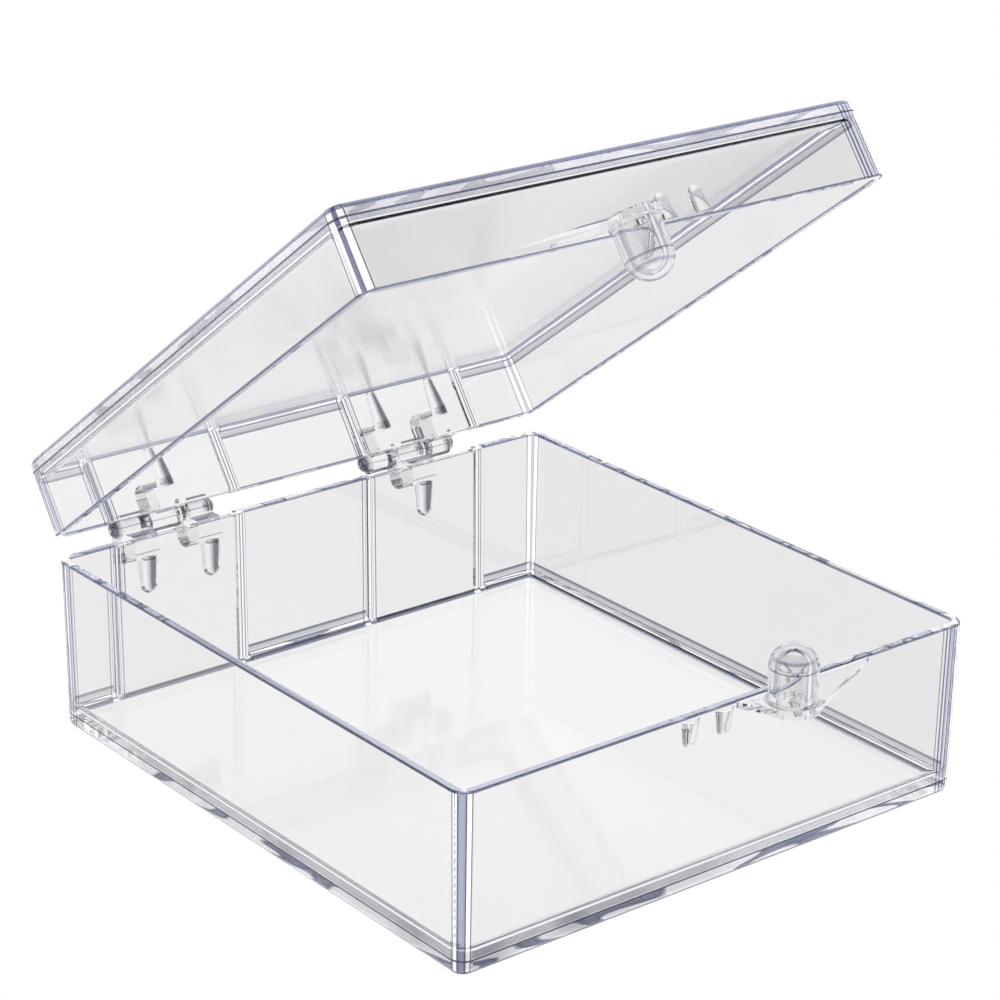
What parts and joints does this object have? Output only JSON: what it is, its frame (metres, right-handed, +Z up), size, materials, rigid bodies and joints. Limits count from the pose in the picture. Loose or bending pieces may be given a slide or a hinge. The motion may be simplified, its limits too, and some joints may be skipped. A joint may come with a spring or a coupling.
{
  "type": "hinged storage box",
  "caption": "Clear moulded storage box: a rectangular tray with a shallow lid that turns on snap-together hinges along the back and closes with round-ended catch knobs at the front.",
  "frame": {"origin": "centre of the tray's flat underside", "axes": "+Z up, +X to the right along the hinge line, +Y from the catches at the front to the hinges at the back"},
  "size_m": [0.1, 0.1241, 0.1065],
  "materials": {
    "clear_plastic": "gloss"
  },
  "bodies": {
    "tray": {"tray": "clear_plastic"},
    "lid": {"lid": "clear_plastic"}
  },
  "joints": [
    {"name": "lid_hinge", "type": "hinge", "parent": "tray", "child": "lid", "pos_m": [0, 0.0575, 0.0296], "axis": [-1, 0, 0], "range_deg": [-37, 143]}
  ]
}
